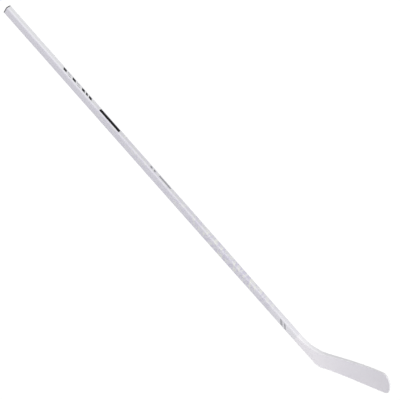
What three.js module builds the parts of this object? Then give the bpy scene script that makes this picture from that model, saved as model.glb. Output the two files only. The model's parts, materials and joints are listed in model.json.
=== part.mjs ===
// Ice hockey stick: a one-piece composite stick, taken apart into the pieces it is laid up and moulded from.
// Millimetres. +X runs from heel to toe, +Z is up, and -Y is the forehand side that the blade curves towards.
// The origin is the middle of the flat stretch of the sole, where the blade stands on the ice.
import * as THREE from "three";
import { mergeVertices } from "three/addons/utils/BufferGeometryUtils.js";

// ---- overall
const STICK_LENGTH = 1524;      // butt end to heel, along the shaft: a 60 inch senior stick
const LIE_ANGLE = 45;           // degrees between the shaft and the ice: lie 5
const GAP = 0.3;                // bond line left between neighbouring pieces

// ---- shaft
const SHAFT = { width: 30, thickness: 20, corner: 5 };
const SHAFT_TIP = { width: 27.6, thickness: 18.4, corner: 5 };
const TAPER_START = 720;        // the shaft slims from here down to the blade joint
const SHAFT_WALL = 1.5;
const JOINT_HEIGHT = 118;       // shaft end above the heel, along the shaft
const SEAM_THICKNESS = 1.4;

// ---- butt cap
const CAP_THICKNESS = 3.2;
const CAP_CHAMFER = 1;
const STEM_LENGTH = 44;
const STEM_WALL = 1.6;
const RIB_RELIEF = 0.7;         // how far the stem stands back between its ribs
const RIB_COUNT = 3;
const RIB_LENGTH = 4;

// ---- blade tenon and what is bonded round it
const TENON_LENGTH = 60;        // length inside the shaft
const TENON_ROOT = 9;           // length inside the hosel
const TENON_WALL = 2;
const ADHESIVE_THICKNESS = 0.6;
const STOPPER_LENGTH = 26;

// ---- blade outline, in the XZ plane
const HEEL_X = -125;
const TOE_X = 178;
const HEEL_RADIUS = 32;
const THROAT_RADIUS = 140;      // inner curve from the shaft's front edge to the blade's top edge
const BLADE_HEIGHT = 58;        // at the end of the throat
const TOE_RISE = 20;            // how much taller the blade is at the toe
const TOP_LINE_POWER = 1.5;     // the top edge rises faster towards the toe
const TOE_SOLE_RADIUS = 34;
const TOE_TOP_RADIUS = 28;
const SOLE_FLAT = 20;           // half length of the flat stretch of the sole
const ROCKER_RADIUS = 700;

// ---- blade curve, loft and section
const BOW_START_X = -115;
const BOW_DEPTH = 56;           // how far the toe stands forward of the shaft
const BOW_POWER = 1.9;
const TOE_LOFT = 6.5;           // degrees that the face lies open at the toe
const THROAT_THICKNESS = 18;
const HEEL_THICKNESS = 13;
const MIDDLE_THICKNESS = 8.6;
const TOE_THICKNESS = 6;
const SKIN = 1.2;
const HOSEL_WALL = 2;
const EDGE = 5;                 // width of the wrap round the blade's rim
const BRIDGE_HEIGHT = 4;
const BRIDGE_LEVEL = 0.46;      // height of the bridge as a share of the blade's height
const TOE_CORE_X = 122;         // the soft toe insert starts here

// ---- printed bar on the shaft's front edge
const BAR_LENGTH = 95;
const BAR_WIDTH = 10;           // it fills the flat between the round corners
const BAR_FROM_BUTT = 454;
const FILM = 0.3;
const FILM_GAP = 0.05;

// ---- how finely curved pieces are divided
const CORNER_POINTS = 4;
const RING_POINTS = 4 * CORNER_POINTS;
const RING_RADIUS = 100;
const HEEL_STEPS = 14;
const BLADE_STEPS = 18;

const lean = THREE.MathUtils.degToRad(90 - LIE_ANGLE);
const upShaft = new THREE.Vector2(-Math.sin(lean), Math.cos(lean));
const acrossShaft = new THREE.Vector2(Math.cos(lean), Math.sin(lean));
const heelCorner = new THREE.Vector2(HEEL_X, 0);
const shaftFoot = heelCorner.clone().addScaledVector(acrossShaft, SHAFT_TIP.width / 2);

const materials = {
  lacquer: { color: 0xd9d7de, roughness: 0.35, metalness: 0 },
  rim: { color: 0xdcdcdd, roughness: 0.4, metalness: 0 },
  carbon: { color: 0x24262a, roughness: 0.45, metalness: 0 },
  foam: { color: 0xe6dcc0, roughness: 0.95, metalness: 0 },
  denseFoam: { color: 0xc9a46a, roughness: 0.9, metalness: 0 },
  adhesive: { color: 0xc58a2c, roughness: 0.5, metalness: 0 },
  capPlastic: { color: 0x141416, roughness: 0.55, metalness: 0 },
  ink: { color: 0x0d0d0f, roughness: 0.3, metalness: 0 },
};

// Welds a geometry's shared corners, drops faces that have closed up to a line, and turns it right side out.
function solid(geometry) {
  geometry.deleteAttribute("normal");
  geometry.deleteAttribute("uv");
  const welded = mergeVertices(geometry, 1e-3);
  const position = welded.attributes.position;
  const faces = [];
  for (let i = 0; i < welded.index.count; i += 3) {
    const [a, b, c] = [0, 1, 2].map((k) => welded.index.getX(i + k));
    if (a !== b && b !== c && c !== a) faces.push([a, b, c]);
  }
  const corner = (i) => new THREE.Vector3().fromBufferAttribute(position, i);
  const volume = faces.reduce((sum, [a, b, c]) => sum + corner(a).dot(corner(b).cross(corner(c))), 0);
  const outward = volume < 0 ? faces.map(([a, b, c]) => [a, c, b]) : faces;
  welded.setIndex(outward.flat());
  welded.computeVertexNormals();
  return welded;
}

function warp(geometry, move) {
  const position = geometry.attributes.position;
  for (let i = 0; i < position.count; i += 1) {
    const point = new THREE.Vector3().fromBufferAttribute(position, i);
    position.setXYZ(i, ...move(point).toArray());
  }
  return solid(geometry);
}

function piece(name, geometry, finish) {
  const mesh = new THREE.Mesh(geometry, new THREE.MeshStandardMaterial(materials[finish]));
  mesh.name = name;
  return mesh;
}

// One of the points round a rectangle with round corners, moved in from its edge by inset.
function ringPoint(index, size, inset) {
  const quarter = Math.floor(index / CORNER_POINTS);
  const turn = (quarter + (index % CORNER_POINTS) / (CORNER_POINTS - 1)) * (Math.PI / 2);
  const radius = Math.max(size.corner - inset, 0);
  const reachX = Math.max(size.width / 2 - inset - radius, 0);
  const reachY = Math.max(size.thickness / 2 - inset - radius, 0);
  const sideX = quarter === 0 || quarter === 3 ? 1 : -1;
  const sideY = quarter < 2 ? 1 : -1;
  return new THREE.Vector2(
    sideX * reachX + radius * Math.cos(turn),
    sideY * reachY + radius * Math.sin(turn),
  );
}

// A profile of [inset, height] pairs taken round a section that placeAt gives for each height.
// The profile closes on itself, or both its ends go in to the section's middle.
function sleeve(profile, placeAt) {
  const outline = profile.map(([inset, height]) => new THREE.Vector2(RING_RADIUS - inset, height));
  return warp(new THREE.LatheGeometry(outline, RING_POINTS), (point) => {
    const turn = Math.atan2(point.x, point.z) / (2 * Math.PI);
    const index = (Math.round(turn * RING_POINTS) + RING_POINTS) % RING_POINTS;
    const inset = RING_RADIUS - Math.hypot(point.x, point.z);
    return placeAt(point.y, (size) => ringPoint(index, size, inset));
  });
}

function steps(from, to, count) {
  return Array.from({ length: count + 1 }, (_, i) => from + ((to - from) * i) / count);
}

// A wall of even thickness between two heights, open at both ends.
function tubeProfile(heights, outer, inner) {
  const outside = heights.map((height) => [outer, height]);
  const inside = heights.map((height) => [inner, height]).reverse();
  return [...outside, ...inside, outside[0]];
}

function solidProfile(heights, inset) {
  const middle = SHAFT.thickness / 2;
  const side = heights.map((height) => [inset, height]);
  return [[middle, heights[0]], ...side, [middle, heights.at(-1)]];
}

// ---------------------------------------------------------------- shaft, in its own frame: +Z up the shaft

function shaftSize(height) {
  const share = THREE.MathUtils.smoothstep(height, JOINT_HEIGHT, TAPER_START);
  return {
    width: THREE.MathUtils.lerp(SHAFT_TIP.width, SHAFT.width, share),
    thickness: THREE.MathUtils.lerp(SHAFT_TIP.thickness, SHAFT.thickness, share),
    corner: SHAFT.corner,
  };
}

function inShaft(height, ring) {
  const point = ring(shaftSize(height));
  return new THREE.Vector3(point.x, point.y, height);
}

const shaftTop = STICK_LENGTH - CAP_THICKNESS - GAP;
const bore = SHAFT_WALL + GAP;
const tenonInset = bore + ADHESIVE_THICKNESS + GAP;
const tenonTop = JOINT_HEIGHT + TENON_LENGTH;

function shaftTube() {
  const heights = [...steps(JOINT_HEIGHT, TAPER_START, 6), shaftTop];
  return piece("shaft_tube", sleeve(tubeProfile(heights, 0, SHAFT_WALL), inShaft), "lacquer");
}

// A flat cap with a chamfered rim on a hollow stem, whose ribs grip the inside of the tube.
function buttCap() {
  const underside = STICK_LENGTH - CAP_THICKNESS;
  const stemEnd = underside - STEM_LENGTH;
  const pitch = STEM_LENGTH / RIB_COUNT;
  const ribs = Array.from({ length: RIB_COUNT }, (_, i) => stemEnd + pitch * i + RIB_LENGTH / 2);
  const stemSide = ribs.flatMap((foot) => [
    [bore + RIB_RELIEF, foot - RIB_LENGTH / 4],
    [bore, foot],
    [bore, foot + RIB_LENGTH],
    [bore + RIB_RELIEF, foot + RIB_LENGTH * 1.25],
  ]);
  const hollow = bore + RIB_RELIEF + STEM_WALL;
  const middle = SHAFT.thickness / 2;
  const profile = [
    [middle, underside],
    [hollow, underside],
    [hollow, stemEnd],
    [bore + RIB_RELIEF, stemEnd],
    ...stemSide,
    [bore + RIB_RELIEF, underside],
    [0, underside],
    [0, STICK_LENGTH - CAP_CHAMFER],
    [CAP_CHAMFER, STICK_LENGTH],
    [middle, STICK_LENGTH],
  ];
  return piece("butt_cap", sleeve(profile, inShaft), "capPlastic");
}

function seamFiller() {
  const heights = [JOINT_HEIGHT - GAP - SEAM_THICKNESS, JOINT_HEIGHT - GAP];
  return piece("seam_filler", sleeve(tubeProfile(heights, 0, SHAFT_WALL), inShaft), "rim");
}

function tenonShell() {
  const heights = [JOINT_HEIGHT - TENON_ROOT, tenonTop];
  const profile = tubeProfile(heights, tenonInset, tenonInset + TENON_WALL);
  return piece("tenon_shell", sleeve(profile, inShaft), "carbon");
}

function tenonCore() {
  const heights = [JOINT_HEIGHT - TENON_ROOT + 1, tenonTop - 1];
  return piece("tenon_core", sleeve(solidProfile(heights, tenonInset + TENON_WALL + GAP), inShaft), "foam");
}

function tenonAdhesive() {
  const heights = [JOINT_HEIGHT + 1, tenonTop - 1];
  const profile = tubeProfile(heights, bore, bore + ADHESIVE_THICKNESS);
  return piece("tenon_adhesive", sleeve(profile, inShaft), "adhesive");
}

function shaftStopper() {
  const foot = tenonTop + 2;
  return piece("shaft_stopper", sleeve(solidProfile([foot, foot + STOPPER_LENGTH], bore), inShaft), "foam");
}

function printedBar() {
  const bar = new THREE.BoxGeometry(FILM, BAR_WIDTH, BAR_LENGTH);
  const mesh = piece("printed_bar", solid(bar), "ink");
  mesh.position.x = SHAFT.width / 2 + FILM_GAP + FILM / 2;
  mesh.position.z = STICK_LENGTH - BAR_FROM_BUTT - BAR_LENGTH / 2;
  return mesh;
}

// ---------------------------------------------------------------- hosel and blade, in the stick's frame

const throatDistance = SHAFT_TIP.width / 2 + THROAT_RADIUS;
const throatHeight = THROAT_RADIUS + BLADE_HEIGHT;
const throatStart = (throatHeight - shaftFoot.y - acrossShaft.y * throatDistance) / upShaft.y;
const throatCentre = shaftFoot.clone()
  .addScaledVector(acrossShaft, throatDistance)
  .addScaledVector(upShaft, throatStart);
const bladeStart = throatCentre.x;

function soleLine(x) {
  const run = Math.max(Math.abs(x) - SOLE_FLAT, 0);
  return run ** 2 / (2 * ROCKER_RADIUS);
}

function topLine(x) {
  const share = THREE.MathUtils.clamp((x - bladeStart) / (TOE_X - TOE_TOP_RADIUS - bladeStart), 0, 1);
  return BLADE_HEIGHT + TOE_RISE * share ** TOP_LINE_POWER;
}

// Height taken up by a round toe corner whose edge is moved in by inset.
function cornerDrop(x, radius, inset) {
  const run = Math.max(x - (TOE_X - radius), 0);
  return radius - Math.sqrt(Math.max((radius - inset) ** 2 - run ** 2, 0));
}

function soleEdgeHeight(x, inset = 0) {
  return soleLine(Math.min(x, TOE_X - TOE_SOLE_RADIUS)) + cornerDrop(x, TOE_SOLE_RADIUS, inset);
}

function topEdgeHeight(x, inset = 0) {
  return topLine(x) - cornerDrop(x, TOE_TOP_RADIUS, inset);
}

function bow(x) {
  const share = Math.max((x - BOW_START_X) / (TOE_X - BOW_START_X), 0);
  return -BOW_DEPTH * share ** BOW_POWER;
}

const shaftY = -bow(0);

// Where the blade's middle surface stands, forehand to backhand, at a point of its outline.
function middleY(x, z) {
  const share = THREE.MathUtils.clamp((x - bladeStart) / (TOE_X - bladeStart), 0, 1);
  const loft = Math.tan(THREE.MathUtils.degToRad(TOE_LOFT)) * share;
  return shaftY + bow(x) + loft * (z - soleLine(x));
}

const heelPath = new THREE.Path()
  .moveTo(...heelCorner.clone().addScaledVector(upShaft, throatStart).toArray())
  .lineTo(...heelCorner.clone().addScaledVector(upShaft, HEEL_RADIUS * Math.tan(lean / 2)).toArray());
heelPath.absarc(
  HEEL_X + HEEL_RADIUS * Math.tan(lean / 2),
  HEEL_RADIUS + soleLine(bladeStart),
  HEEL_RADIUS,
  -Math.PI / 2 - lean,
  -Math.PI / 2,
  false,
);
heelPath.lineTo(bladeStart, soleLine(bladeStart));

const thicknessLine = new THREE.SplineCurve([
  new THREE.Vector2(bladeStart, HEEL_THICKNESS),
  new THREE.Vector2((bladeStart + TOE_X) / 2, MIDDLE_THICKNESS),
  new THREE.Vector2(TOE_X, TOE_THICKNESS),
]);

function bladeThickness(x) {
  const share = THREE.MathUtils.clamp((x - bladeStart) / (TOE_X - bladeStart), 0, 1);
  return thicknessLine.getPoint(share).y;
}

// The section of the hosel at a stage: 0 at the joint, 1 where the throat starts, 2 where the blade starts.
function inHosel(stage, ring) {
  const turn = THREE.MathUtils.clamp(stage - 1, 0, 1);
  const back = heelPath.getPointAt(turn);
  const front = back.clone().sub(throatCentre).setLength(THROAT_RADIUS).add(throatCentre);
  const lift = Math.max(1 - stage, 0) * (JOINT_HEIGHT - 2 * GAP - SEAM_THICKNESS - throatStart);
  back.addScaledVector(upShaft, lift);
  front.addScaledVector(upShaft, lift);
  const size = {
    width: back.distanceTo(front),
    thickness: THREE.MathUtils.lerp(
      THREE.MathUtils.lerp(SHAFT_TIP.thickness, THROAT_THICKNESS, Math.min(stage, 1)),
      HEEL_THICKNESS,
      THREE.MathUtils.smoothstep(turn, 0, 1),
    ),
    corner: SHAFT_TIP.corner,
  };
  const point = ring(size);
  const along = front.clone().sub(back).normalize();
  const place = back.clone().add(front).multiplyScalar(0.5).addScaledVector(along, point.x);
  return new THREE.Vector3(place.x, middleY(place.x, place.y) + point.y, place.y);
}

const heelStages = steps(1, 2, HEEL_STEPS);

function hoselShell() {
  const stages = [0, ...heelStages];
  return piece("hosel_shell", sleeve(tubeProfile(stages, 0, HOSEL_WALL), inHosel), "lacquer");
}

// Its sections stand where the shell's do, so that the two surfaces run side by side.
function heelCore() {
  const profile = solidProfile(heelStages.slice(1), HOSEL_WALL + GAP);
  return piece("heel_core", sleeve(profile, inHosel), "denseFoam");
}

// A panel of the blade between two X values. low and high give its bottom and top edge at an X,
// near and far give its two faces as distances from the blade's middle surface.
function panel(name, finish, { from, to, low, high, near, far, count = BLADE_STEPS }) {
  const block = new THREE.BoxGeometry(1, 1, 1, count, 1, 1);
  const shape = warp(block, (point) => {
    const x = from + (to - from) * Math.sin(((point.x + 0.5) * Math.PI) / 2);
    const z = THREE.MathUtils.lerp(low(x), high(x), point.z + 0.5);
    const offset = THREE.MathUtils.lerp(near(x), far(x), point.y + 0.5);
    return new THREE.Vector3(x, middleY(x, z) + offset, z);
  });
  return piece(name, shape, finish);
}

const halfBlade = (x) => bladeThickness(x) / 2;
const underSkin = (x) => halfBlade(x) - SKIN - GAP;
const panelStart = bladeStart + GAP;
const rimInside = EDGE + GAP;

function skin(name, side) {
  const outer = (x) => side * halfBlade(x);
  const inner = (x) => side * (halfBlade(x) - SKIN);
  return panel(name, "lacquer", {
    from: panelStart,
    to: TOE_X - rimInside,
    low: (x) => soleEdgeHeight(x, rimInside),
    high: (x) => topEdgeHeight(x, rimInside),
    near: side < 0 ? outer : inner,
    far: side < 0 ? inner : outer,
  });
}

function core(name, finish, from, to, low, high) {
  return panel(name, finish, { from, to, low, high, near: (x) => -underSkin(x), far: underSkin });
}

function bridgeHeight(x) {
  return soleLine(x) + BRIDGE_LEVEL * (topLine(x) - soleLine(x));
}

function cores() {
  const coreEnd = TOE_CORE_X - GAP;
  const sole = (x) => soleEdgeHeight(x, rimInside);
  const top = (x) => topEdgeHeight(x, rimInside);
  const bridgeFoot = (x) => bridgeHeight(x) - BRIDGE_HEIGHT / 2;
  const bridgeTop = (x) => bridgeHeight(x) + BRIDGE_HEIGHT / 2;
  return [
    core("lower_core", "foam", panelStart, coreEnd, sole, (x) => bridgeFoot(x) - GAP),
    core("bridge_rib", "carbon", panelStart, coreEnd, bridgeFoot, bridgeTop),
    core("upper_core", "foam", panelStart, coreEnd, (x) => bridgeTop(x) + GAP, top),
    core("toe_core", "denseFoam", TOE_CORE_X, TOE_X - rimInside, sole, top),
  ];
}

function rimStrip(name, to, low, high) {
  return panel(name, "rim", {
    from: panelStart,
    to,
    low,
    high,
    near: (x) => -halfBlade(x),
    far: halfBlade,
  });
}

function soleEdge() {
  const inner = (x) => soleEdgeHeight(x, EDGE);
  return rimStrip("sole_edge", TOE_X - TOE_SOLE_RADIUS - GAP, (x) => soleEdgeHeight(x), inner);
}

function topEdge() {
  const inner = (x) => topEdgeHeight(x, EDGE);
  return rimStrip("top_edge", TOE_X - TOE_TOP_RADIUS - GAP, inner, (x) => topEdgeHeight(x));
}

// The part of the rim wrap that goes round the toe, from the sole to the top edge.
function toeEdge() {
  const quarter = Math.PI / 2;
  const soleX = TOE_X - TOE_SOLE_RADIUS;
  const soleZ = soleEdgeHeight(soleX) + TOE_SOLE_RADIUS;
  const topX = TOE_X - TOE_TOP_RADIUS;
  const topZ = topEdgeHeight(topX) - TOE_TOP_RADIUS;
  const outline = new THREE.Shape();
  outline.absarc(soleX, soleZ, TOE_SOLE_RADIUS, -quarter, 0, false);
  outline.absarc(topX, topZ, TOE_TOP_RADIUS, 0, quarter, false);
  outline.absarc(topX, topZ, TOE_TOP_RADIUS - EDGE, quarter, 0, true);
  outline.absarc(soleX, soleZ, TOE_SOLE_RADIUS - EDGE, 0, -quarter, true);
  const band = new THREE.ExtrudeGeometry(outline, { depth: 1, bevelEnabled: false, curveSegments: 7 });
  const shape = warp(band, ({ x, y, z }) => {
    const offset = (0.5 - z) * bladeThickness(x);
    return new THREE.Vector3(x, middleY(x, y) + offset, y);
  });
  return piece("toe_edge", shape, "rim");
}

// ---------------------------------------------------------------- assembly

const shaft = new THREE.Group();
shaft.position.set(shaftFoot.x, shaftY, shaftFoot.y);
shaft.rotation.y = -lean;
shaft.add(
  shaftTube(),
  buttCap(),
  seamFiller(),
  tenonShell(),
  tenonCore(),
  tenonAdhesive(),
  shaftStopper(),
  printedBar(),
);

const blade = new THREE.Group();
blade.add(
  hoselShell(),
  heelCore(),
  skin("forehand_skin", -1),
  skin("backhand_skin", 1),
  ...cores(),
  soleEdge(),
  topEdge(),
  toeEdge(),
);

const stick = new THREE.Group();
stick.add(shaft, blade);

export default stick;
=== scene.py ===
"""The finish of a composite ice hockey stick: painted shaft and blade, butt cap and printed marks.

Metres, in the part's own frame: +X runs from heel to toe, +Z is up, and the blade curves towards -Y.
In the shaft's own frame, +Z runs up the shaft from the heel, +X is the front edge and -Y the forehand face.
"""

import json
import math

import bmesh
import bpy
from mathutils import Matrix, Vector


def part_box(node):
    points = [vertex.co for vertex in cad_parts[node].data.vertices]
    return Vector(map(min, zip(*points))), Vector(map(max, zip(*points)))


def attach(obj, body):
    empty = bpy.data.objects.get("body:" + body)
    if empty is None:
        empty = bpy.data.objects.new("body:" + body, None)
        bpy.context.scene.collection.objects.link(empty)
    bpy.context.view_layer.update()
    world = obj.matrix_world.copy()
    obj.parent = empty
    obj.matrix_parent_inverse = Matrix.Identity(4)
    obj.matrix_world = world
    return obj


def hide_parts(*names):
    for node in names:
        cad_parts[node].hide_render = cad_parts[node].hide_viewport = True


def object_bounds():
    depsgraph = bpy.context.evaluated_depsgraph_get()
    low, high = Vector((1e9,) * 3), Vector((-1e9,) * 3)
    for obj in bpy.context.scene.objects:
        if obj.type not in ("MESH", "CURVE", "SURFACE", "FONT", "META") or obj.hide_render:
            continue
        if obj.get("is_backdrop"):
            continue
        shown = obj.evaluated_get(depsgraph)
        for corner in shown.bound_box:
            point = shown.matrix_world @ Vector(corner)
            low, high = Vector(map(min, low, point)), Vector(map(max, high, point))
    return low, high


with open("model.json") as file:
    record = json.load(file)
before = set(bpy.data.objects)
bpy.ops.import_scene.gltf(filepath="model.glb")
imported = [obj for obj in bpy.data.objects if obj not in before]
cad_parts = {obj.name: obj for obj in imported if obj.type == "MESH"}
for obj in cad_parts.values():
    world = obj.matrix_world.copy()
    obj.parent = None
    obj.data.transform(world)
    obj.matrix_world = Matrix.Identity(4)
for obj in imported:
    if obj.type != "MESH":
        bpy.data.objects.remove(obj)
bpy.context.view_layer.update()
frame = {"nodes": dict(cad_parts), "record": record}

MM = 0.001
WELD = 0.001 * MM                # points nearer than this are one point
LEVEL = 0.0001 * MM              # lengths that differ by less are equal
SLACK = 0.01 * MM                # how far short of a line a point may fall and still count as on it
SHARP_EDGE = math.radians(35)    # faces that meet at less than this are shaded as one surface

# ---- shaft
STICK_LENGTH = 1524 * MM
SHAFT_WIDTH, SHAFT_THICKNESS = 30 * MM, 20 * MM
TIP_WIDTH, TIP_THICKNESS = 27.6 * MM, 18.4 * MM
CORNER = 5 * MM
TAPER_START = 720 * MM           # the shaft slims from here down to the blade joint
SHAFT_WALL = 1.5 * MM
JOINT_HEIGHT = 118 * MM
GAP = 0.3 * MM
SEAM_TOP = JOINT_HEIGHT - GAP
SEAM_FOOT = SEAM_TOP - 1.4 * MM
SEAM_GROOVE = 0.05 * MM
GROOVE_SIDE = 0.3                # the share of the seam's height that each side of its groove takes
CORNER_SEGMENTS = 8
TAPER_STEPS, GRIP_STEPS = 24, 12

# ---- butt cap
CAP_THICKNESS = 3.2 * MM
CAP_EDGE = 1.1 * MM
CAP_EDGE_STEPS = 5
DISH_INSET, DISH_SLOPE, DISH_DEPTH = 2.6 * MM, 0.5 * MM, 0.35 * MM
STEM_LENGTH = 44 * MM
STEM_INSET = 2.5 * MM
RIB_INSET = 1.8 * MM
HOLLOW_INSET = 4.1 * MM
RIB_COUNT = 3
RIB_LENGTH = 4 * MM
RIB_BEVEL = 1 * MM

# ---- blade outline, in the XZ plane
HEEL_RADIUS = 32 * MM
THROAT_RADIUS = 140 * MM
BLADE_HEIGHT = 58 * MM
TOE_RISE = 20 * MM
TOP_LINE_POWER = 1.5
TOE_SOLE_RADIUS = 34 * MM
TOE_TOP_RADIUS = 28 * MM
SOLE_FLAT = 20 * MM
ROCKER_RADIUS = 700 * MM

# ---- blade curve, loft and section
BOW_START_X = -115 * MM
BOW_DEPTH = 56 * MM
BOW_POWER = 1.9
TOE_LOFT = math.radians(6.5)
THROAT_THICKNESS = 18 * MM
HEEL_THICKNESS = 13 * MM
MIDDLE_THICKNESS = 8.6 * MM
TOE_THICKNESS = 6 * MM
SKIN = 1.2 * MM
RIM_RADIUS = 2.6 * MM            # the rounded rim of the blade, 5 mm round at the shaft joint
RIM_LOOPS = 7
HOSEL_LEAD = 14 * MM             # spare length above the joint, cut off square at the seam
TURN_RUNGS, BLADE_RUNGS, TOE_RUNGS = 20, 26, 14
RUNG_CUTS = 5

# ---- printed marks: distances from the butt, and (distance of the middle, length) of each dash
BAR_FROM_BUTT, BAR_LENGTH, BAR_WIDTH = 454 * MM, 95 * MM, 10 * MM
DARK_DASHES = (
    (281 * MM, 15 * MM), (326 * MM, 15 * MM), (371 * MM, 13 * MM), (388 * MM, 8 * MM), (405 * MM, 13 * MM),
)
LIGHT_DASHES = (303 * MM, 348 * MM)
SIZE_DASHES = ((703 * MM, 9 * MM), (719 * MM, 7 * MM))
STRIPE = ((768 * MM, 54 * MM),)
HATCH_FROM_BUTT = 1349 * MM
HATCH_STROKES = ((-8 * MM, 11 * MM), (9 * MM, 8 * MM))      # from the middle of the hatch
SLANT, SIZE_SLANT = -0.8, -0.6   # how far a dash leans back over its own width
FILM = 0.12 * MM
FILM_LIFT = 0.02 * MM
FILM_SEGMENTS = 6

# ---- paint, as heights up the shaft: where each tone starts, and where it is full
# painted shade: the narrow faces are painted grey over the middle of the shaft, between these two, and paler
# towards both ends; the corner highlight also brightens towards the butt
PALE_TOP = (980 * MM, 1290 * MM)
PALE_FOOT = (640 * MM, 280 * MM)
# painted light: all the faces are painted paler towards the blade joint
JOINT_FADE = (300 * MM, JOINT_HEIGHT)
GHOST_FOOT = (200 * MM, 290 * MM)
GHOST_FADE = (540 * MM, 660 * MM)
GHOST_TOP = (1110 * MM, 1070 * MM)
GHOST_REMAINS = 0.45             # what is left of the ghosted print above its fade

# ---- paint, as distances from the middle of the narrow faces
# painted highlight: the round corners and the sides of the narrow faces are painted whiter, fading out
# towards the middle of the narrow faces
PAINTED_CORNER_HIGHLIGHT = (0.6 * MM, 6 * MM)
WIDE_FACE = (6.4 * MM, 8.6 * MM)

# ---- studio
FLOOR_SIZE = 60                  # metres, so that its edge is never in sight
ROOM_LIGHT = 0.36
FLOOR_GLOW = 0.97
KEY_LIGHT = 1.9
KEY_TOWARDS = (0.62, -0.3, 0.72)
KEY_SPREAD = math.radians(30)
CAMERA_AZIMUTH = math.radians(43.83)
CAMERA_ELEVATION = math.radians(25.92)
CAMERA_ROLL = math.radians(-10.6)
CAMERA_DISTANCE = 5.1806
CAMERA_LENS, CAMERA_SENSOR = 150, 36     # in millimetres
AIM_FROM_CENTRE = Vector((19.8 * MM, 13.8 * MM, -24.1 * MM))


def mount(name):
    return next(m for m in frame["record"]["mounts"] if m["name"] == name)


butt = Vector(mount("butt_face")["pos_m"])
up_shaft = Vector(mount("butt_face")["axis"]).normalized()
lean = math.atan2(-up_shaft.x, up_shaft.z)
across_shaft = Vector((math.cos(lean), 0, math.sin(lean)))
shaft_foot = butt - up_shaft * STICK_LENGTH
shaft_place = Matrix.Translation(shaft_foot) @ Matrix.Rotation(-lean, 4, "Y")
toe_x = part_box("toe_edge")[1].x


def clamp(value):
    return min(max(value, 0.0), 1.0)


def lerp(a, b, share):
    return a + (b - a) * share


def smooth(share):
    share = clamp(share)
    return share * share * (3 - 2 * share)


def flat(vector):
    """A point of the blade's side view, from a point of the stick's frame."""
    return Vector((vector.x, vector.z))


# ---------------------------------------------------------------- pieces


def finish_piece(name, bm, material, body="stick", replaces=()):
    """Makes a named object of a finished mesh and ties it to its CAD body."""
    for face in bm.faces:
        face.smooth = True
    for edge in bm.edges:
        edge.smooth = not edge.is_boundary and edge.calc_face_angle(0) < SHARP_EDGE
    mesh = bpy.data.meshes.new(name)
    bm.to_mesh(mesh)
    bm.free()
    piece = bpy.data.objects.new(name, mesh)
    bpy.context.scene.collection.objects.link(piece)
    mesh.materials.append(material)
    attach(piece, body)
    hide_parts(*replaces)
    return piece


def wall(piece, thickness):
    """Gives an open skin its wall, inwards from the painted face."""
    modifier = piece.modifiers.new("wall", "SOLIDIFY")
    modifier.thickness = thickness
    modifier.offset = -1
    modifier.use_even_offset = True


def shaft_section(height):
    share = smooth((height - JOINT_HEIGHT) / (TAPER_START - JOINT_HEIGHT))
    return lerp(TIP_WIDTH, SHAFT_WIDTH, share), lerp(TIP_THICKNESS, SHAFT_THICKNESS, share)


def corner_centre(point, height):
    """The middle of the round corner that a point of the shaft's section belongs to."""
    width, thickness = shaft_section(height)
    return Vector((
        math.copysign(width / 2 - CORNER, point.x),
        math.copysign(thickness / 2 - CORNER, point.y),
    ))


def shaft_ring(bm, height, inset):
    """The edges of one section of the shaft, moved in by inset."""
    made = bmesh.ops.create_grid(bm, x_segments=1, y_segments=1, size=0.5)
    width, thickness = shaft_section(height)
    bmesh.ops.scale(bm, vec=(width, thickness, 1), verts=made["verts"])
    bmesh.ops.bevel(
        bm, geom=made["verts"], affect="VERTICES", offset=CORNER, offset_type="OFFSET",
        segments=CORNER_SEGMENTS, profile=0.5, material=-1, clamp_overlap=False,
    )
    bmesh.ops.delete(bm, geom=bm.faces[:], context="FACES_ONLY")
    for vert in bm.verts:
        centre = corner_centre(vert.co, height)
        point = centre + (vert.co.xy - centre) * ((CORNER - inset) / CORNER)
        vert.co = (point.x, point.y, height)
    return bm.edges[:]


def carry_ring(bm, edges, start, end):
    """Extrudes a ring of the shaft from one (height, inset) to the next, and gives the new ring."""
    made = bmesh.ops.extrude_edge_only(bm, edges=edges)["geom"]
    verts = [part for part in made if isinstance(part, bmesh.types.BMVert)]
    for vert in verts:
        centre = corner_centre(vert.co, start[0])
        outwards = (vert.co.xy - centre) / (CORNER - start[1])
        point = corner_centre(vert.co, end[0]) + outwards * (CORNER - end[1])
        vert.co = (point.x, point.y, end[0])
    ring = set(verts)
    return [
        part for part in made
        if isinstance(part, bmesh.types.BMEdge) and set(part.verts) <= ring
    ]


def sleeve(profile, closed=False):
    """A mesh that follows a profile of (height, inset) stations round the shaft's section."""
    bm = bmesh.new()
    first = ring = shaft_ring(bm, *profile[0])
    for start, end in zip(profile, profile[1:]):
        ring = carry_ring(bm, ring, start, end)
    if closed:
        for loop in (first, ring):
            bmesh.ops.contextual_create(bm, geom=loop)
    bmesh.ops.recalc_face_normals(bm, faces=bm.faces)
    return bm


# ---------------------------------------------------------------- shaft


def painted_shaft(material):
    """The painted tube, from the joint seam to the cap. It slims down to the joint over its lower half."""
    top = STICK_LENGTH - CAP_THICKNESS - GAP
    taper = [lerp(SEAM_TOP, TAPER_START, step / TAPER_STEPS) for step in range(TAPER_STEPS + 1)]
    grip = [lerp(TAPER_START, top, step / GRIP_STEPS) for step in range(1, GRIP_STEPS + 1)]
    bm = sleeve([(height, 0) for height in taper + grip])
    bmesh.ops.transform(bm, matrix=shaft_place, verts=bm.verts)
    piece = finish_piece("painted_shaft", bm, material, replaces=["shaft_tube"])
    wall(piece, SHAFT_WALL)
    return piece


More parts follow.
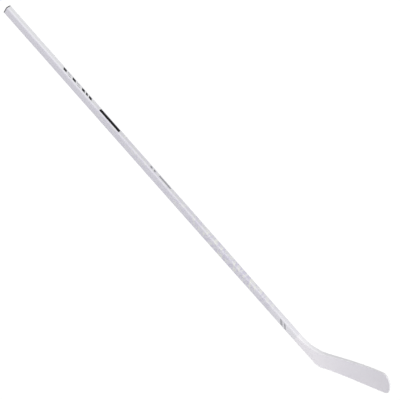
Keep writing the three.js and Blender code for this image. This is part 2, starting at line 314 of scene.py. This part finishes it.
def joint_seam(material):
    """The ring of filler at the blade joint, sanded flush but for the faint groove that it dries to."""
    profile = [
        (SEAM_FOOT, SHAFT_WALL), (SEAM_FOOT, 0),
        (lerp(SEAM_FOOT, SEAM_TOP, GROOVE_SIDE), SEAM_GROOVE),
        (lerp(SEAM_FOOT, SEAM_TOP, 1 - GROOVE_SIDE), SEAM_GROOVE),
        (SEAM_TOP, 0), (SEAM_TOP, SHAFT_WALL),
    ]
    bm = sleeve(profile + profile[:1])
    bmesh.ops.remove_doubles(bm, verts=bm.verts, dist=WELD)
    bmesh.ops.recalc_face_normals(bm, faces=bm.faces)
    bmesh.ops.transform(bm, matrix=shaft_place, verts=bm.verts)
    return finish_piece("joint_seam", bm, material, replaces=["seam_filler"])


def grip_cap(material):
    """A moulded cap on a hollow stem, with a shallow dish in its face and ribs that grip the tube."""
    underside = STICK_LENGTH - CAP_THICKNESS
    stem_end = underside - STEM_LENGTH
    pitch = STEM_LENGTH / RIB_COUNT
    stem = [(underside, HOLLOW_INSET), (stem_end, HOLLOW_INSET), (stem_end, STEM_INSET)]
    for index in range(RIB_COUNT):
        foot = stem_end + pitch * index + RIB_LENGTH / 2
        stem += [
            (foot - RIB_BEVEL, STEM_INSET), (foot, RIB_INSET),
            (foot + RIB_LENGTH, RIB_INSET), (foot + RIB_LENGTH + RIB_BEVEL, STEM_INSET),
        ]
    stem += [(underside, STEM_INSET), (underside, 0), (STICK_LENGTH - CAP_EDGE, 0)]
    turns = [math.pi / 2 * step / CAP_EDGE_STEPS for step in range(1, CAP_EDGE_STEPS + 1)]
    rim = [
        (STICK_LENGTH - CAP_EDGE * (1 - math.sin(turn)), CAP_EDGE * (1 - math.cos(turn)))
        for turn in turns
    ]
    dish = [(STICK_LENGTH, DISH_INSET), (STICK_LENGTH - DISH_DEPTH, DISH_INSET + DISH_SLOPE)]
    bm = sleeve(stem + rim + dish, closed=True)
    bmesh.ops.transform(bm, matrix=shaft_place, verts=bm.verts)
    return finish_piece("grip_cap", bm, material, body="cap", replaces=["butt_cap"])


# ---------------------------------------------------------------- printed films


def film(bm, length, width, corner, shear=0.0, along=0.0, across=0.0):
    """Adds one flat mark with round corners, long in X and wide in Y, sheared and moved into place."""
    made = bmesh.ops.create_grid(bm, x_segments=1, y_segments=1, size=0.5)
    verts = made["verts"]
    bmesh.ops.scale(bm, vec=(length, width, 1), verts=verts)
    for vert in verts:
        vert.co.x += shear * vert.co.y
    bmesh.ops.translate(bm, vec=(along, across, 0), verts=verts)
    bmesh.ops.bevel(
        bm, geom=verts, affect="VERTICES", offset=corner, offset_type="OFFSET",
        segments=FILM_SEGMENTS, profile=0.5, material=-1, clamp_overlap=True,
    )


def print_on(bm, name, face_place, material, replaces=()):
    """Gives the flat marks their film thickness and lays them on a face of the shaft."""
    made = bmesh.ops.extrude_face_region(bm, geom=bm.faces[:])["geom"]
    raised = [part for part in made if isinstance(part, bmesh.types.BMVert)]
    bmesh.ops.translate(bm, vec=(0, 0, FILM), verts=raised)
    bmesh.ops.recalc_face_normals(bm, faces=bm.faces)
    bmesh.ops.transform(bm, matrix=face_place, verts=bm.verts)
    return finish_piece(name, bm, material, replaces=replaces)


def front_edge(from_butt):
    """Places flat work on the shaft's front edge: X runs down the shaft, Y across the edge, Z outwards."""
    height = STICK_LENGTH - from_butt
    reach = shaft_section(height)[0] / 2 + FILM_LIFT
    axes = Matrix(((0, 0, 1), (0, 1, 0), (-1, 0, 0))).to_4x4()
    return shaft_place @ Matrix.Translation((reach, 0, height)) @ axes


def forehand_face(from_butt):
    """Places flat work on the shaft's forehand face: X runs down the shaft, Y across it, Z outwards."""
    height = STICK_LENGTH - from_butt
    reach = -shaft_section(height)[1] / 2 - FILM_LIFT
    axes = Matrix(((0, 1, 0), (0, 0, -1), (-1, 0, 0))).to_4x4()
    return shaft_place @ Matrix.Translation((0, reach, height)) @ axes


def bar_film(material):
    """The long bar with slightly rounded ends that fills the flat of the front edge."""
    bm = bmesh.new()
    film(bm, BAR_LENGTH, BAR_WIDTH, 1.6 * MM)
    place = front_edge(BAR_FROM_BUTT + BAR_LENGTH / 2)
    return print_on(bm, "bar_film", place, material, replaces=["printed_bar"])


def edge_marks(name, material, marks, width, corner, across, slant=0.0):
    """A row of marks of one width along the front edge, a little to one side of its middle."""
    bm = bmesh.new()
    for along, length in marks:
        film(bm, length, width, corner, shear=slant, along=along, across=across)
    return print_on(bm, name, front_edge(0), material)


def light_dashes(material):
    """Paler dashes, two by two, in the gaps between the first three dark ones."""
    bm = bmesh.new()
    for along in LIGHT_DASHES:
        for side in (-1, 1):
            film(
                bm, 15 * MM, 2.6 * MM, 1 * MM, shear=SLANT,
                along=along - side * 3 * MM, across=(side * 3.2 - 0.5) * MM,
            )
    return print_on(bm, "light_dashes", front_edge(0), material)


def hosel_hatch(material):
    """Two slanted strokes across the forehand face, a little above the blade joint."""
    bm = bmesh.new()
    for along, length in HATCH_STROKES:
        film(bm, length, 17.5 * MM, 2.4 * MM, shear=SLANT, along=along)
    return print_on(bm, "hosel_hatch", forehand_face(HATCH_FROM_BUTT), material)


# ---------------------------------------------------------------- blade


shaft_front = TIP_WIDTH / 2
throat_distance = shaft_front + THROAT_RADIUS
throat_height = THROAT_RADIUS + BLADE_HEIGHT
throat_start = (throat_height - shaft_foot.z - across_shaft.z * throat_distance) / up_shaft.z
throat_centre = flat(shaft_foot + across_shaft * throat_distance + up_shaft * throat_start)
blade_start = throat_centre.x
heel_corner = shaft_foot - across_shaft * shaft_front


def sole_line(x):
    return max(abs(x) - SOLE_FLAT, 0) ** 2 / (2 * ROCKER_RADIUS)


def sole_slope(x):
    return max(abs(x) - SOLE_FLAT, 0) / ROCKER_RADIUS


top_run = toe_x - TOE_TOP_RADIUS - blade_start


def top_line(x):
    return BLADE_HEIGHT + TOE_RISE * clamp((x - blade_start) / top_run) ** TOP_LINE_POWER


def bow(x):
    share = max((x - BOW_START_X) / (toe_x - BOW_START_X), 0)
    return -BOW_DEPTH * share ** BOW_POWER


def middle_y(x, z):
    """Where the blade's middle surface stands, forehand to backhand."""
    share = clamp((x - blade_start) / (toe_x - blade_start))
    return shaft_foot.y + bow(x) + math.tan(TOE_LOFT) * share * (z - sole_line(x))


def turn_share(point):
    """0 where the throat starts, 1 where the blade starts, by the angle round the throat."""
    reach = point - throat_centre
    start = math.atan2(-across_shaft.z, -across_shaft.x)
    angle = math.atan2(reach.y, reach.x)
    return clamp((angle - start) / (-math.pi / 2 - start))


def blade_thickness(point):
    share = (point.x - blade_start) / (toe_x - blade_start)
    if share > 0:
        share = clamp(share)
        bend = 4 * (MIDDLE_THICKNESS - (HEEL_THICKNESS + TOE_THICKNESS) / 2)
        return lerp(HEEL_THICKNESS, TOE_THICKNESS, share) + bend * share * (1 - share)
    turn = turn_share(point)
    if turn > 0:
        return lerp(THROAT_THICKNESS, HEEL_THICKNESS, smooth(turn))
    height = (point - flat(shaft_foot)).dot(flat(up_shaft))
    share = clamp((height - throat_start) / (JOINT_HEIGHT - throat_start))
    return lerp(THROAT_THICKNESS, TIP_THICKNESS, share)


def rim_radius(point):
    return lerp(CORNER, RIM_RADIUS, smooth(turn_share(point)))


def heel_path(share):
    """A point on the back of the hosel: down the shaft's back line, round the heel and along the sole."""
    tangent = HEEL_RADIUS * math.tan(lean / 2)
    lengths = [throat_start - tangent, HEEL_RADIUS * lean, blade_start - heel_corner.x - tangent]
    run = share * sum(lengths)
    if run < lengths[0]:
        return flat(heel_corner + up_shaft * (throat_start - run))
    if run < lengths[0] + lengths[1]:
        turn = -math.pi / 2 - lean + (run - lengths[0]) / HEEL_RADIUS
        centre = Vector((heel_corner.x + tangent, HEEL_RADIUS + sole_line(blade_start)))
        return centre + HEEL_RADIUS * Vector((math.cos(turn), math.sin(turn)))
    return Vector((heel_corner.x + tangent + run - lengths[0] - lengths[1], sole_line(blade_start)))


def toe_corner(radius, side):
    """The round toe corner at the sole (side -1) or the top line (side 1): its middle and first angle."""
    x = toe_x - radius
    if side < 0:
        slope = sole_slope(x)
        return Vector((x, sole_line(x) + radius * math.hypot(1, slope))), math.atan(slope)
    slope = TOP_LINE_POWER * TOE_RISE / top_run
    return Vector((x, top_line(x) - radius * math.hypot(1, slope))), -math.atan(slope)


def toe_point(radius, side, share):
    centre, first = toe_corner(radius, side)
    turn = lerp(first, math.pi / 2, share)
    return centre + radius * Vector((math.sin(turn), side * math.cos(turn)))


def rungs():
    """The back and front ends of the rungs that divide the blade's side view, from the joint to the toe."""
    for rise in (HOSEL_LEAD, 0):
        back = heel_corner + up_shaft * (JOINT_HEIGHT + rise)
        yield flat(back), flat(back + across_shaft * TIP_WIDTH)
    for step in range(TURN_RUNGS + 1):
        back = heel_path(step / TURN_RUNGS)
        yield back, throat_centre + (back - throat_centre).normalized() * THROAT_RADIUS
    low_end = toe_point(TOE_SOLE_RADIUS, -1, 0).x
    high_end = toe_point(TOE_TOP_RADIUS, 1, 0).x
    for step in range(1, BLADE_RUNGS + 1):
        low = lerp(blade_start, low_end, step / BLADE_RUNGS)
        high = lerp(blade_start, high_end, step / BLADE_RUNGS)
        yield Vector((low, sole_line(low))), Vector((high, top_line(high)))
    for step in range(1, TOE_RUNGS + 1):
        share = step / TOE_RUNGS
        yield toe_point(TOE_SOLE_RADIUS, -1, share), toe_point(TOE_TOP_RADIUS, 1, share)


def side_view(bm):
    """Extrudes the first rung along the others. Returns the faces between them."""
    ends = list(rungs())
    verts = [bm.verts.new((point.x, 0, point.y)) for point in ends[0]]
    rung = bm.edges.new(verts)
    for low, high in ends[1:]:
        made = bmesh.ops.extrude_edge_only(bm, edges=[rung])["geom"]
        verts = [part for part in made if isinstance(part, bmesh.types.BMVert)]
        verts.sort(key=lambda vert: vert.co.z)
        before = sorted(rung.verts, key=lambda vert: vert.co.z)
        partner = {id(e.other_vert(v)): v for v in verts for e in v.link_edges}
        for old, place in zip(before, (low, high)):
            partner[id(old)].co = (place.x, 0, place.y)
        rung = next(e for e in bm.edges if set(e.verts) == set(verts))
    return bm.faces[:]


def round_rim(bm, faces):
    """Insets the side view in loops that crowd towards the rim, and keeps each point's distance from it."""
    depth = bm.verts.layers.float.new("rim_distance")
    reached = 0.0
    for loop in range(1, RIM_LOOPS + 1):
        distance = CORNER * (1 - math.cos(math.pi / 2 * loop / RIM_LOOPS))
        made = bmesh.ops.inset_region(
            bm, faces=faces, thickness=distance - reached, use_boundary=True, use_even_offset=True,
        )
        outer = {vert for face in made["faces"] for vert in face.verts}
        inner = {vert for face in faces for vert in face.verts}
        for vert in outer & inner:
            vert[depth] = distance
        reached = distance
    return depth


def cut_rungs(bm, faces):
    """Divides the rungs between the rim loops, and the toe's front edge with them."""
    inside = set(faces)
    across = {e for face in faces for e in face.edges if all(f in inside for f in e.link_faces)}
    for edge in bm.edges:
        a, b = (vert.co for vert in edge.verts)
        if abs(a.x - b.x) < LEVEL and min(a.x, b.x) > toe_x - CORNER - SLACK:
            across.add(edge)
    bmesh.ops.subdivide_edges(bm, edges=list(across), cuts=RUNG_CUTS, use_grid_fill=True)


def painted_blade(material):
    """The painted skin below the seam: one half is raised from the side view, mirrored and then bowed."""
    bm = bmesh.new()
    faces = side_view(bm)
    depth = round_rim(bm, faces)
    cut_rungs(bm, faces)
    for vert in bm.verts:
        point = flat(vert.co)
        radius = rim_radius(point)
        run = radius - min(vert[depth], radius)
        vert.co.y = blade_thickness(point) / 2 - radius + math.sqrt(radius ** 2 - run ** 2)
    rim = [edge for edge in bm.edges if edge.is_boundary]
    made = bmesh.ops.extrude_edge_only(bm, edges=rim)["geom"]
    for part in made:
        if isinstance(part, bmesh.types.BMVert):
            part.co.y = 0
    whole = bm.verts[:] + bm.edges[:] + bm.faces[:]
    bmesh.ops.mirror(bm, geom=whole, matrix=Matrix.Identity(4), merge_dist=WELD, axis="Y")
    bmesh.ops.remove_doubles(bm, verts=bm.verts, dist=LEVEL)
    for vert in bm.verts:
        vert.co.y += middle_y(vert.co.x, vert.co.z)
    bmesh.ops.bisect_plane(
        bm, geom=bm.verts[:] + bm.edges[:] + bm.faces[:], plane_co=shaft_foot + up_shaft * SEAM_FOOT,
        plane_no=up_shaft, clear_outer=True,
    )
    bmesh.ops.recalc_face_normals(bm, faces=bm.faces)
    skins = ["hosel_shell", "forehand_skin", "backhand_skin", "sole_edge", "top_edge", "toe_edge"]
    piece = finish_piece("painted_blade", bm, material, replaces=skins)
    wall(piece, SKIN)
    return piece


# ---------------------------------------------------------------- materials


def linear(hex_colour):
    """A linear colour from an sRGB hex value."""
    parts = [int(hex_colour[i:i + 2], 16) / 255 for i in (1, 3, 5)]
    return [p / 12.92 if p <= 0.04045 else ((p + 0.055) / 1.055) ** 2.4 for p in parts] + [1.0]


def add(tree, kind, inputs, output=0, **settings):
    """Adds a node with its settings and links, and gives one of its outputs.

    An input takes a value or another node's output. On a colour mix, 0 is the share, 6 and 7 are the two
    colours, and 2 is the result.
    """
    node = tree.nodes.new(kind)
    for name, value in settings.items():
        setattr(node, name, value)
    for name, value in inputs.items():
        if isinstance(value, bpy.types.NodeSocket):
            tree.links.new(value, node.inputs[name])
        else:
            node.inputs[name].default_value = value
    return node.outputs[output]


def new_material(name, ior=1.5):
    material = bpy.data.materials.new(name)
    material.use_nodes = True
    shader = material.node_tree.nodes["Principled BSDF"]
    shader.inputs["IOR"].default_value = ior
    return material, material.node_tree, shader


def dress(tree, shader, colour, roughness, height, strength, depth):
    """Links a finish to its shader: its colour, its roughness, and the relief of its surface."""
    bump = add(tree, "ShaderNodeBump", {"Height": height, "Strength": strength, "Distance": depth})
    tree.links.new(colour, shader.inputs["Base Color"])
    tree.links.new(roughness, shader.inputs["Roughness"])
    tree.links.new(bump, shader.inputs["Normal"])


def shaft_coordinates(tree, turn=0.0, size=(1, 1, 1)):
    """Object coordinates turned into the shaft's frame, with an extra turn in the plane of the wide faces."""
    place = add(tree, "ShaderNodeTexCoord", {}, "Object")
    inputs = {"Vector": place, "Location": shaft_foot, "Rotation": (0, -lean + turn, 0), "Scale": size}
    return add(tree, "ShaderNodeMapping", inputs, vector_type="TEXTURE")


def orange_peel(tree, place):
    """The fine ripple that sprayed lacquer dries with, about 1.5 mm from crest to crest."""
    return add(tree, "ShaderNodeTexNoise", {"Vector": place, "Scale": 1 / (1.5 * MM), "Detail": 2.0})


def shards(tree, turn, size, printed, zone):
    """Slanted angular cells of a ghosted print. A part of them is printed, and only within the zone."""
    place = shaft_coordinates(tree, turn, size)
    cells = add(tree, "ShaderNodeTexVoronoi", {"Vector": place, "Scale": 1.0, "Randomness": 0.9}, "Color")
    pick = add(tree, "ShaderNodeSeparateColor", {"Color": cells})
    chosen = add(tree, "ShaderNodeMath", {0: pick, 1: printed}, operation="LESS_THAN")
    return add(tree, "ShaderNodeMath", {0: chosen, 1: zone}, operation="MULTIPLY")


def shaft_lacquer():
    """White polyurethane lacquer sprayed over carbon.

    The wide faces are misted lavender. The round corners are painted whiter as a painted highlight, brightest
    towards the butt. The narrow faces are painted grey over the middle of the shaft and at their own middle
    as painted shade, and all of it is painted paler towards the joint as painted light. Shards are ghosted in
    below the grip, most clearly in the lower third.
    """
    material, tree, shader = new_material("sprayed_white_lacquer_shaft")
    place = shaft_coordinates(tree)
    height = add(tree, "ShaderNodeSeparateXYZ", {"Vector": place}, "Z")
    side = add(tree, "ShaderNodeSeparateXYZ", {"Vector": place}, "Y")
    side = add(tree, "ShaderNodeMath", {0: side}, operation="ABSOLUTE")
    # corner masks the painted highlight on the round corners; upper, lower and joint place painted light and
    # shade along the shaft
    upper, lower, joint, corner, face = (
        add(
            tree, "ShaderNodeMapRange", {"Value": value, "From Min": start, "From Max": full},
            interpolation_type="SMOOTHSTEP",
        )
        for value, (start, full) in (
            (height, PALE_TOP), (height, PALE_FOOT), (height, JOINT_FADE),
            (side, PAINTED_CORNER_HIGHLIGHT), (side, WIDE_FACE),
        )
    )
    rise, fall, end = (
        add(
            tree, "ShaderNodeMapRange",
            {"Value": height, "From Min": start, "From Max": full, "To Min": low, "To Max": high},
        )
        for (start, full), low, high in (
            (GHOST_FOOT, 0.0, 1.0), (GHOST_FADE, 1.0, GHOST_REMAINS), (GHOST_TOP, 0.0, 1.0),
        )
    )
    cloud = add(tree, "ShaderNodeTexNoise", {"Vector": place, "Scale": 1 / (110 * MM), "Detail": 3.0})
    share = add(tree, "ShaderNodeMapRange", {"Value": cloud, "From Min": 0.3, "From Max": 0.7})
    pale_end = add(tree, "ShaderNodeMath", {0: upper, 1: lower}, operation="MAXIMUM")
    # narrow is painted shade: grey over the middle of the shaft and paler at its ends; white is the painted
    # corner highlight, brighter towards the butt
    wide, narrow, white = (
        add(tree, "ShaderNodeMix", {0: mask, 6: linear(first), 7: linear(second)}, 2, data_type="RGBA")
        for mask, first, second in (
            (share, "#D7D5DE", "#DBD9E1"), (pale_end, "#D2D2D2", "#E0E0E1"), (upper, "#DCDBE0", "#E5E5E9"),
        )
    )
    zone = add(tree, "ShaderNodeMath", {0: rise, 1: fall}, operation="MULTIPLY")
    zone = add(tree, "ShaderNodeMath", {0: zone, 1: end}, operation="MULTIPLY")
    dark = shards(tree, math.radians(-56), (5 * MM, 14 * MM, 19 * MM), 0.4, zone)
    light = shards(tree, math.radians(42), (5 * MM, 14 * MM, 14 * MM), 0.16, zone)
    base = narrow
    # corner paints the highlight and joint paints the paler light towards the joint; wide is the faces' own
    # tone, and the shards are print
    for mask, colour in (
        (corner, white), (face, wide), (joint, linear("#E5E4E9")),
        (dark, linear("#D0CDDA")), (light, linear("#E1E1DE")),
    ):
        base = add(tree, "ShaderNodeMix", {0: mask, 6: base, 7: colour}, 2, data_type="RGBA")
    gloss = add(
        tree, "ShaderNodeMapRange",
        {"Value": cloud, "From Min": 0.3, "From Max": 0.7, "To Min": 0.42, "To Max": 0.5},
    )
    dress(tree, shader, base, gloss, orange_peel(tree, place), 0.35, 0.02 * MM)
    shader.inputs["Specular IOR Level"].default_value = 0.4
    return material


def blade_lacquer():
    """The same lacquer on the blade, sprayed matt. Painted light: paler at the heel, lighter and neutral at
    the rim.
    """
    material, tree, shader = new_material("sprayed_white_lacquer_blade")
    place = add(tree, "ShaderNodeTexCoord", {}, "Object")
    cloud = add(tree, "ShaderNodeTexNoise", {"Vector": place, "Scale": 1 / (70 * MM), "Detail": 3.0})
    share = add(tree, "ShaderNodeMapRange", {"Value": cloud, "From Min": 0.3, "From Max": 0.7})
    base = add(
        tree, "ShaderNodeMix", {0: share, 6: linear("#E8E5EC"), 7: linear("#ECE9EF")}, 2, data_type="RGBA",
    )
    along = add(tree, "ShaderNodeSeparateXYZ", {"Vector": place}, "X")
    # heel masks painted light: the lacquer is painted paler towards the heel
    heel = add(
        tree, "ShaderNodeMapRange", {"Value": along, "From Min": 10 * MM, "From Max": -130 * MM},
        interpolation_type="SMOOTHSTEP",
    )
    # rim masks a painted highlight: the lacquer is painted lighter within 3 mm of the rim
    distance = add(tree, "ShaderNodeAttribute", {}, "Fac", attribute_name="rim_distance")
    rim = add(tree, "ShaderNodeMapRange", {"Value": distance, "From Min": 3 * MM, "From Max": 0.6 * MM})
    for mask, colour in ((heel, "#EEEBF0"), (rim, "#F1F0F2")):
        base = add(tree, "ShaderNodeMix", {0: mask, 6: base, 7: linear(colour)}, 2, data_type="RGBA")
    matt = add(
        tree, "ShaderNodeMapRange",
        {"Value": cloud, "From Min": 0.3, "From Max": 0.7, "To Min": 0.5, "To Max": 0.6},
    )
    dress(tree, shader, base, matt, orange_peel(tree, place), 0.35, 0.03 * MM)
    shader.inputs["Specular IOR Level"].default_value = 0.3
    return material


def screen_print(name, colour, lighter, roughness):
    """Screen-printed ink under clear coat: an even film whose density drifts every few millimetres."""
    material, tree, shader = new_material(name)
    place = shaft_coordinates(tree)
    drift = add(tree, "ShaderNodeTexNoise", {"Vector": place, "Scale": 1 / (4.5 * MM), "Detail": 4.0})
    share = add(tree, "ShaderNodeMapRange", {"Value": drift, "From Min": 0.4, "From Max": 0.75})
    base = add(
        tree, "ShaderNodeMix", {0: share, 6: linear(colour), 7: linear(lighter)}, 2, data_type="RGBA",
    )
    gloss = add(
        tree, "ShaderNodeMapRange",
        {"Value": drift, "From Min": 0.3, "From Max": 0.7, "To Min": roughness, "To Max": roughness + 0.1},
    )
    dress(tree, shader, base, gloss, orange_peel(tree, place), 0.35, 0.01 * MM)
    return material


def cap_plastic():
    """Moulded black ABS: a spark-eroded grain, a little shinier in patches where hands rub it."""
    material, tree, shader = new_material("moulded_black_abs", ior=1.54)
    place = shaft_coordinates(tree)
    grain = add(tree, "ShaderNodeTexNoise", {"Vector": place, "Scale": 1 / (0.5 * MM), "Detail": 2.0})
    drift = add(tree, "ShaderNodeTexNoise", {"Vector": place, "Scale": 1 / (11 * MM), "Detail": 3.0})
    share = add(tree, "ShaderNodeMapRange", {"Value": drift, "From Min": 0.3, "From Max": 0.7})
    base = add(
        tree, "ShaderNodeMix", {0: share, 6: linear("#131315"), 7: linear("#1F1F22")}, 2, data_type="RGBA",
    )
    rubbed = add(tree, "ShaderNodeMapRange", {"Value": share, "To Min": 0.42, "To Max": 0.6})
    dress(tree, shader, base, rubbed, grain, 0.6, 0.06 * MM)
    return material


def carbon_laminate():
    """Woven carbon in epoxy: 3 mm tows that cross at right angles, with a painted sheen on every other one.
    """
    material, tree, shader = new_material("woven_carbon_laminate")
    place = shaft_coordinates(tree, math.radians(45), (3 * MM, 3 * MM, 3 * MM))
    tows = add(tree, "ShaderNodeTexChecker", {"Vector": place, "Scale": 1.0}, "Fac")
    strands = add(tree, "ShaderNodeTexWave", {"Vector": place, "Scale": 6.0, "Distortion": 0.4}, "Fac")
    # painted sheen: alternate tows are painted lighter, for the light that each catches in turn
    base = add(
        tree, "ShaderNodeMix", {0: tows, 6: linear("#1B1C1F"), 7: linear("#2E3034")}, 2, data_type="RGBA",
    )
    sheen = add(tree, "ShaderNodeMapRange", {"Value": tows, "To Min": 0.3, "To Max": 0.45})
    dress(tree, shader, base, sheen, strands, 0.3, 0.05 * MM)
    shader.inputs["Coat Weight"].default_value = 0.6
    shader.inputs["Coat Roughness"].default_value = 0.12
    return material


def cut_foam(name, pale, pit_shade, cell):
    """Machined closed-cell polyurethane foam: cells cut through at the surface, matt all over."""
    material, tree, shader = new_material(name)
    place = add(tree, "ShaderNodeTexCoord", {}, "Object")
    cells = add(tree, "ShaderNodeTexVoronoi", {"Vector": place, "Scale": 1 / cell}, "Distance")
    share = add(tree, "ShaderNodeMapRange", {"Value": cells, "From Min": 0.1, "From Max": 0.6})
    # painted shade: the darker colour fills the pits of the cut cells, darkest at their middles, and the
    # paler one their rims
    base = add(tree, "ShaderNodeMix", {0: share, 6: linear(pit_shade), 7: linear(pale)}, 2, data_type="RGBA")
    matt = add(tree, "ShaderNodeMapRange", {"Value": share, "To Min": 0.95, "To Max": 0.85})
    dress(tree, shader, base, matt, cells, 0.7, cell / 3)
    return material


def cured_epoxy():
    """Amber epoxy adhesive, squeezed thin and cured: slightly clouded and wet-looking."""
    material, tree, shader = new_material("amber_cured_epoxy", ior=1.55)
    place = add(tree, "ShaderNodeTexCoord", {}, "Object")
    cloud = add(tree, "ShaderNodeTexNoise", {"Vector": place, "Scale": 1 / (6 * MM), "Detail": 4.0})
    share = add(tree, "ShaderNodeMapRange", {"Value": cloud, "From Min": 0.3, "From Max": 0.7})
    base = add(
        tree, "ShaderNodeMix", {0: share, 6: linear("#B97A22"), 7: linear("#D49A45")}, 2, data_type="RGBA",
    )
    wet = add(tree, "ShaderNodeMapRange", {"Value": share, "To Min": 0.25, "To Max": 0.5})
    dress(tree, shader, base, wet, cloud, 0.2, 0.2 * MM)
    return material


def studio_floor():
    """A floor that looks evenly pale: a grey diffuser lit from within like a light table, so shadows fade."""
    material, tree, shader = new_material("pale_studio_floor")
    place = add(tree, "ShaderNodeTexCoord", {}, "Object")
    cloud = add(tree, "ShaderNodeTexNoise", {"Vector": place, "Scale": 0.8, "Detail": 2.0})
    base = add(
        tree, "ShaderNodeMix", {0: cloud, 6: linear("#4C4C4C"), 7: linear("#545454")}, 2, data_type="RGBA",
    )
    tree.links.new(base, shader.inputs["Base Color"])
    shader.inputs["Roughness"].default_value = 0.8
    shader.inputs["Specular IOR Level"].default_value = 0.1
    shader.inputs["Emission Color"].default_value = linear("#FFFFFF")
    shader.inputs["Emission Strength"].default_value = FLOOR_GLOW
    return material


# ---------------------------------------------------------------- the stick


shaft_paint = shaft_lacquer()
blade_paint = blade_lacquer()
black_ink = screen_print("gloss_black_print", "#08080A", "#121214", 0.24)
dark_ink = screen_print("dark_grey_print", "#262629", "#353539", 0.3)
grey_ink = screen_print("silver_grey_print", "#8A8A8E", "#98989C", 0.32)
pale_ink = screen_print("pale_grey_print", "#A9A8AD", "#B4B3B8", 0.34)

painted_shaft(shaft_paint)
painted_blade(blade_paint)
joint_seam(blade_paint)
grip_cap(cap_plastic())
bar_film(black_ink)
edge_marks("slanted_dashes", dark_ink, DARK_DASHES, 7.8 * MM, 1.4 * MM, 1 * MM, SLANT)
light_dashes(pale_ink)
edge_marks("size_dashes", grey_ink, SIZE_DASHES, 6 * MM, 1 * MM, 1 * MM, SIZE_SLANT)
edge_marks("edge_stripe", grey_ink, STRIPE, 4.4 * MM, 1.2 * MM, 1.6 * MM)
hosel_hatch(pale_ink)

inner_finishes = {
    carbon_laminate(): ["tenon_shell", "bridge_rib"],
    cut_foam("light_pu_foam", "#E8DEC4", "#C9BD9C", 0.5 * MM): [
        "tenon_core", "shaft_stopper", "lower_core", "upper_core",
    ],
    cut_foam("dense_pu_foam", "#CDA86E", "#A8834A", 0.35 * MM): ["heel_core", "toe_core"],
    cured_epoxy(): ["tenon_adhesive"],
}
for finish, names in inner_finishes.items():
    for name in names:
        slots = frame["nodes"][name].data.materials
        slots.clear()
        slots.append(finish)

# ---------------------------------------------------------------- studio


def studio():
    """A wide pale floor in a soft white room."""
    mesh = bpy.data.meshes.new("studio_floor")
    bm = bmesh.new()
    bmesh.ops.create_grid(bm, x_segments=1, y_segments=1, size=FLOOR_SIZE / 2)
    bm.to_mesh(mesh)
    bm.free()
    mesh.materials.append(studio_floor())
    floor = bpy.data.objects.new("studio_floor", mesh)
    bpy.context.scene.collection.objects.link(floor)
    floor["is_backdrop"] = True
    world = bpy.data.worlds.new("soft_white_room")
    bpy.context.scene.world = world
    world.use_nodes = True
    background = world.node_tree.nodes["Background"]
    background.inputs["Color"].default_value = linear("#F6F6FA")
    background.inputs["Strength"].default_value = ROOM_LIGHT
    bpy.context.scene.view_settings.view_transform = "Standard"


def softbox(name, towards, strength, spread):
    """A very large, far softbox: even over the whole stick and as soft as its spread."""
    light = bpy.data.lights.new(name, "SUN")
    light.energy = strength
    light.angle = spread
    lamp = bpy.data.objects.new(name, light)
    bpy.context.scene.collection.objects.link(lamp)
    lamp.rotation_euler = Vector(towards).to_track_quat("Z", "Y").to_euler()


def camera():
    """Looks along the stick from its forehand side, above the toe, with the frame turned a little."""
    low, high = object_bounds()
    aim = (low + high) / 2 + AIM_FROM_CENTRE
    level = Vector((math.cos(CAMERA_AZIMUTH), math.sin(CAMERA_AZIMUTH), 0))
    outwards = Vector((math.sin(CAMERA_AZIMUTH), -math.cos(CAMERA_AZIMUTH), 0))
    back = outwards * math.cos(CAMERA_ELEVATION) + Vector((0, 0, math.sin(CAMERA_ELEVATION)))
    above = back.cross(level)
    right = level * math.cos(CAMERA_ROLL) + above * math.sin(CAMERA_ROLL)
    up = above * math.cos(CAMERA_ROLL) - level * math.sin(CAMERA_ROLL)
    data = bpy.data.cameras.new("camera")
    data.lens = CAMERA_LENS
    data.sensor_width = CAMERA_SENSOR
    data.clip_end = 200
    view = bpy.data.objects.new("camera", data)
    bpy.context.scene.collection.objects.link(view)
    turned = Matrix((right, up, back)).transposed().to_4x4()
    view.matrix_world = Matrix.Translation(aim + back * CAMERA_DISTANCE) @ turned
    bpy.context.scene.camera = view


studio()
camera()
softbox("key_softbox", KEY_TOWARDS, KEY_LIGHT, KEY_SPREAD)
